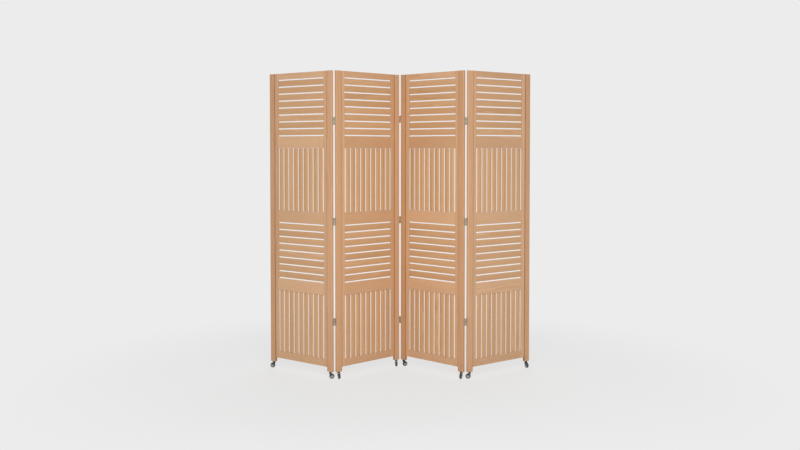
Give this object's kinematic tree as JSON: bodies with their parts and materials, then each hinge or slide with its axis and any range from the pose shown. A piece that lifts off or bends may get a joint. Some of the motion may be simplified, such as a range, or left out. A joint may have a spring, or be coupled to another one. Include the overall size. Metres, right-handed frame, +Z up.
{
  "type": "folding louvred room divider",
  "caption": "Hinged folding screen of wooden louvre panels with banks of turning level and upright slats, standing in a zigzag on small swivel casters.",
  "frame": {"origin": "on the floor, under the middle of the standing screen's box", "axes": "+Z up, the longest side; X along the screen from its left end to its right; +Y from the viewer's side to the back, the shortest side"},
  "size_m": [1.5741, 0.3718, 1.778],
  "materials": {
    "post_wood": "clear satin over light tan wood",
    "frame_wood": "clear satin over light tan wood",
    "slat_wood": "clear satin over light tan wood",
    "hinge_steel": "satin, slightly bronzed",
    "screw_steel": "satin",
    "caster_steel": "dark plated",
    "wheel_rubber": "matt"
  },
  "bodies": {
    "panel_1": {"panel_1_posts": "post_wood", "panel_1_louvre_frame": "frame_wood", "panel_1_slats": "slat_wood", "panel_1_hinge_leaves": "hinge_steel", "panel_1_hinge_screws": "screw_steel", "panel_1_caster_sockets": "caster_steel"},
    "panel_2": {"panel_2_posts": "post_wood", "panel_2_louvre_frame": "frame_wood", "panel_2_slats": "slat_wood", "panel_2_hinge_leaves": "hinge_steel", "panel_2_hinge_screws": "screw_steel", "panel_2_caster_sockets": "caster_steel", "hinge_pins_1_2": "hinge_steel", "hinge_pins_2_3": "hinge_steel"},
    "panel_3": {"panel_3_posts": "post_wood", "panel_3_louvre_frame": "frame_wood", "panel_3_slats": "slat_wood", "panel_3_hinge_leaves": "hinge_steel", "panel_3_hinge_screws": "screw_steel", "panel_3_caster_sockets": "caster_steel", "hinge_pins_3_4": "hinge_steel"},
    "panel_4": {"panel_4_posts": "post_wood", "panel_4_louvre_frame": "frame_wood", "panel_4_slats": "slat_wood", "panel_4_hinge_leaves": "hinge_steel", "panel_4_hinge_screws": "screw_steel", "panel_4_caster_sockets": "caster_steel"},
    "panel_2_top_slat_1": {"panel_2_top_slat_1": "slat_wood"},
    "panel_2_top_slat_2": {"panel_2_top_slat_2": "slat_wood"},
    "panel_2_top_slat_3": {"panel_2_top_slat_3": "slat_wood"},
    "panel_2_top_slat_4": {"panel_2_top_slat_4": "slat_wood"},
    "panel_2_top_slat_5": {"panel_2_top_slat_5": "slat_wood"},
    "panel_2_top_slat_6": {"panel_2_top_slat_6": "slat_wood"},
    "panel_2_top_slat_7": {"panel_2_top_slat_7": "slat_wood"},
    "panel_2_top_slat_8": {"panel_2_top_slat_8": "slat_wood"},
    "panel_2_upright_slat_1": {"panel_2_upright_slat_1": "slat_wood"},
    "panel_2_upright_slat_2": {"panel_2_upright_slat_2": "slat_wood"},
    "panel_2_upright_slat_3": {"panel_2_upright_slat_3": "slat_wood"},
    "panel_2_upright_slat_4": {"panel_2_upright_slat_4": "slat_wood"},
    "panel_2_upright_slat_5": {"panel_2_upright_slat_5": "slat_wood"},
    "panel_2_upright_slat_6": {"panel_2_upright_slat_6": "slat_wood"},
    "panel_2_upright_slat_7": {"panel_2_upright_slat_7": "slat_wood"},
    "panel_2_upright_slat_8": {"panel_2_upright_slat_8": "slat_wood"},
    "panel_2_upright_slat_9": {"panel_2_upright_slat_9": "slat_wood"},
    "panel_1_left_caster_fork": {"panel_1_left_caster_fork": "caster_steel"},
    "panel_1_right_caster_fork": {"panel_1_right_caster_fork": "caster_steel"},
    "panel_2_left_caster_fork": {"panel_2_left_caster_fork": "caster_steel"},
    "panel_2_right_caster_fork": {"panel_2_right_caster_fork": "caster_steel"},
    "panel_3_left_caster_fork": {"panel_3_left_caster_fork": "caster_steel"},
    "panel_3_right_caster_fork": {"panel_3_right_caster_fork": "caster_steel"},
    "panel_4_left_caster_fork": {"panel_4_left_caster_fork": "caster_steel"},
    "panel_4_right_caster_fork": {"panel_4_right_caster_fork": "caster_steel"},
    "panel_1_left_caster_wheel": {"panel_1_left_caster_wheel": "wheel_rubber"},
    "panel_1_right_caster_wheel": {"panel_1_right_caster_wheel": "wheel_rubber"},
    "panel_2_left_caster_wheel": {"panel_2_left_caster_wheel": "wheel_rubber"},
    "panel_2_right_caster_wheel": {"panel_2_right_caster_wheel": "wheel_rubber"},
    "panel_3_left_caster_wheel": {"panel_3_left_caster_wheel": "wheel_rubber"},
    "panel_3_right_caster_wheel": {"panel_3_right_caster_wheel": "wheel_rubber"},
    "panel_4_left_caster_wheel": {"panel_4_left_caster_wheel": "wheel_rubber"},
    "panel_4_right_caster_wheel": {"panel_4_right_caster_wheel": "wheel_rubber"}
  },
  "joints": [
    {"name": "fold_1_2", "type": "hinge", "parent": "panel_2", "child": "panel_1", "pos_m": [-0.37802, -0.1727, 0], "axis": [0, 0, 1], "range_deg": [-90, 84]},
    {"name": "fold_2_3", "type": "hinge", "parent": "panel_2", "child": "panel_3", "pos_m": [0, 0.17421, 0], "axis": [0, 0, 1], "range_deg": [-84, 90]},
    {"name": "fold_3_4", "type": "hinge", "parent": "panel_3", "child": "panel_4", "pos_m": [0.37802, -0.1727, 0], "axis": [0, 0, -1], "range_deg": [-90, 84]},
    {"name": "top_slat_1_turn", "type": "hinge", "parent": "panel_2", "child": "panel_2_top_slat_1", "pos_m": [-0.18901, 0.00076, 1.42794], "axis": [0.7071, 0.7071, 0], "range_deg": [-90, 90]},
    {"name": "top_slat_2_turn", "type": "hinge", "parent": "panel_2", "child": "panel_2_top_slat_2", "pos_m": [-0.18901, 0.00076, 1.46939], "axis": [0.7071, 0.7071, 0], "range_deg": [-90, 90]},
    {"name": "top_slat_3_turn", "type": "hinge", "parent": "panel_2", "child": "panel_2_top_slat_3", "pos_m": [-0.18901, 0.00076, 1.51083], "axis": [0.7071, 0.7071, 0], "range_deg": [-90, 90]},
    {"name": "top_slat_4_turn", "type": "hinge", "parent": "panel_2", "child": "panel_2_top_slat_4", "pos_m": [-0.18901, 0.00076, 1.55228], "axis": [0.7071, 0.7071, 0], "range_deg": [-90, 90]},
    {"name": "top_slat_5_turn", "type": "hinge", "parent": "panel_2", "child": "panel_2_top_slat_5", "pos_m": [-0.18901, 0.00076, 1.59372], "axis": [0.7071, 0.7071, 0], "range_deg": [-90, 90]},
    {"name": "top_slat_6_turn", "type": "hinge", "parent": "panel_2", "child": "panel_2_top_slat_6", "pos_m": [-0.18901, 0.00076, 1.63517], "axis": [0.7071, 0.7071, 0], "range_deg": [-90, 90]},
    {"name": "top_slat_7_turn", "type": "hinge", "parent": "panel_2", "child": "panel_2_top_slat_7", "pos_m": [-0.18901, 0.00076, 1.67661], "axis": [0.7071, 0.7071, 0], "range_deg": [-90, 90]},
    {"name": "top_slat_8_turn", "type": "hinge", "parent": "panel_2", "child": "panel_2_top_slat_8", "pos_m": [-0.18901, 0.00076, 1.71806], "axis": [0.7071, 0.7071, 0], "range_deg": [-90, 90]},
    {"name": "upright_slat_1_turn", "type": "hinge", "parent": "panel_2", "child": "panel_2_upright_slat_1", "pos_m": [-0.30275, -0.11299, 1.147], "axis": [0, 0, 1], "range_deg": [-90, 90]},
    {"name": "upright_slat_2_turn", "type": "hinge", "parent": "panel_2", "child": "panel_2_upright_slat_2", "pos_m": [-0.27432, -0.08455, 1.147], "axis": [0, 0, 1], "range_deg": [-90, 90]},
    {"name": "upright_slat_3_turn", "type": "hinge", "parent": "panel_2", "child": "panel_2_upright_slat_3", "pos_m": [-0.24588, -0.05612, 1.147], "axis": [0, 0, 1], "range_deg": [-90, 90]},
    {"name": "upright_slat_4_turn", "type": "hinge", "parent": "panel_2", "child": "panel_2_upright_slat_4", "pos_m": [-0.21744, -0.02768, 1.147], "axis": [0, 0, 1], "range_deg": [-90, 90]},
    {"name": "upright_slat_5_turn", "type": "hinge", "parent": "panel_2", "child": "panel_2_upright_slat_5", "pos_m": [-0.18901, 0.00076, 1.147], "axis": [0, 0, 1], "range_deg": [-90, 90]},
    {"name": "upright_slat_6_turn", "type": "hinge", "parent": "panel_2", "child": "panel_2_upright_slat_6", "pos_m": [-0.16057, 0.02919, 1.147], "axis": [0, 0, 1], "range_deg": [-90, 90]},
    {"name": "upright_slat_7_turn", "type": "hinge", "parent": "panel_2", "child": "panel_2_upright_slat_7", "pos_m": [-0.13214, 0.05763, 1.147], "axis": [0, 0, 1], "range_deg": [-90, 90]},
    {"name": "upright_slat_8_turn", "type": "hinge", "parent": "panel_2", "child": "panel_2_upright_slat_8", "pos_m": [-0.1037, 0.08606, 1.147], "axis": [0, 0, 1], "range_deg": [-90, 90]},
    {"name": "upright_slat_9_turn", "type": "hinge", "parent": "panel_2", "child": "panel_2_upright_slat_9", "pos_m": [-0.07527, 0.1145, 1.147], "axis": [0, 0, 1], "range_deg": [-90, 90]},
    {"name": "panel_1_left_caster_swivel", "type": "hinge", "parent": "panel_1", "child": "panel_1_left_caster_fork", "pos_m": [-0.76598, 0.12731, 0.04], "axis": [0, 0, 1], "continuous": true},
    {"name": "panel_1_right_caster_swivel", "type": "hinge", "parent": "panel_1", "child": "panel_1_right_caster_fork", "pos_m": [-0.40227, -0.16721, 0.04], "axis": [0, 0, 1], "continuous": true},
    {"name": "panel_2_left_caster_swivel", "type": "hinge", "parent": "panel_2", "child": "panel_2_left_caster_fork", "pos_m": [-0.35447, -0.16471, 0.04], "axis": [0, 0, 1], "continuous": true},
    {"name": "panel_2_right_caster_swivel", "type": "hinge", "parent": "panel_2", "child": "panel_2_right_caster_fork", "pos_m": [-0.02355, 0.16622, 0.04], "axis": [0, 0, 1], "continuous": true},
    {"name": "panel_3_left_caster_swivel", "type": "hinge", "parent": "panel_3", "child": "panel_3_left_caster_fork", "pos_m": [0.02355, 0.16622, 0.04], "axis": [0, 0, 1], "continuous": true},
    {"name": "panel_3_right_caster_swivel", "type": "hinge", "parent": "panel_3", "child": "panel_3_right_caster_fork", "pos_m": [0.35447, -0.16471, 0.04], "axis": [0, 0, 1], "continuous": true},
    {"name": "panel_4_left_caster_swivel", "type": "hinge", "parent": "panel_4", "child": "panel_4_left_caster_fork", "pos_m": [0.40227, -0.16721, 0.04], "axis": [0, 0, 1], "continuous": true},
    {"name": "panel_4_right_caster_swivel", "type": "hinge", "parent": "panel_4", "child": "panel_4_right_caster_fork", "pos_m": [0.76598, 0.12731, 0.04], "axis": [0, 0, 1], "continuous": true},
    {"name": "panel_1_left_caster_roll", "type": "hinge", "parent": "panel_1_left_caster_fork", "child": "panel_1_left_caster_wheel", "pos_m": [-0.7737, 0.12938, 0.015], "axis": [-0.2588, -0.9659, 0], "continuous": true},
    {"name": "panel_1_right_caster_roll", "type": "hinge", "parent": "panel_1_right_caster_fork", "child": "panel_1_right_caster_wheel", "pos_m": [-0.39427, -0.16721, 0.015], "axis": [0, 1, 0], "continuous": true},
    {"name": "panel_2_left_caster_roll", "type": "hinge", "parent": "panel_2_left_caster_fork", "child": "panel_2_left_caster_wheel", "pos_m": [-0.35174, -0.17223, 0.015], "axis": [0.9397, 0.342, 0], "continuous": true},
    {"name": "panel_2_right_caster_roll", "type": "hinge", "parent": "panel_2_right_caster_fork", "child": "panel_2_right_caster_wheel", "pos_m": [-0.02243, 0.1583, 0.015], "axis": [0.9903, 0.1392, 0], "continuous": true},
    {"name": "panel_3_left_caster_roll", "type": "hinge", "parent": "panel_3_left_caster_fork", "child": "panel_3_left_caster_wheel", "pos_m": [0.03086, 0.16947, 0.015], "axis": [-0.4067, 0.9135, 0], "continuous": true},
    {"name": "panel_3_right_caster_roll", "type": "hinge", "parent": "panel_3_right_caster_fork", "child": "panel_3_right_caster_wheel", "pos_m": [0.35148, -0.17213, 0.015], "axis": [0.9272, -0.3746, 0], "continuous": true},
    {"name": "panel_4_left_caster_roll", "type": "hinge", "parent": "panel_4_left_caster_fork", "child": "panel_4_left_caster_wheel", "pos_m": [0.39427, -0.16721, 0.015], "axis": [0, -1, 0], "continuous": true},
    {"name": "panel_4_right_caster_roll", "type": "hinge", "parent": "panel_4_right_caster_fork", "child": "panel_4_right_caster_wheel", "pos_m": [0.76998, 0.12038, 0.015], "axis": [0.866, 0.5, 0], "continuous": true}
  ]
}
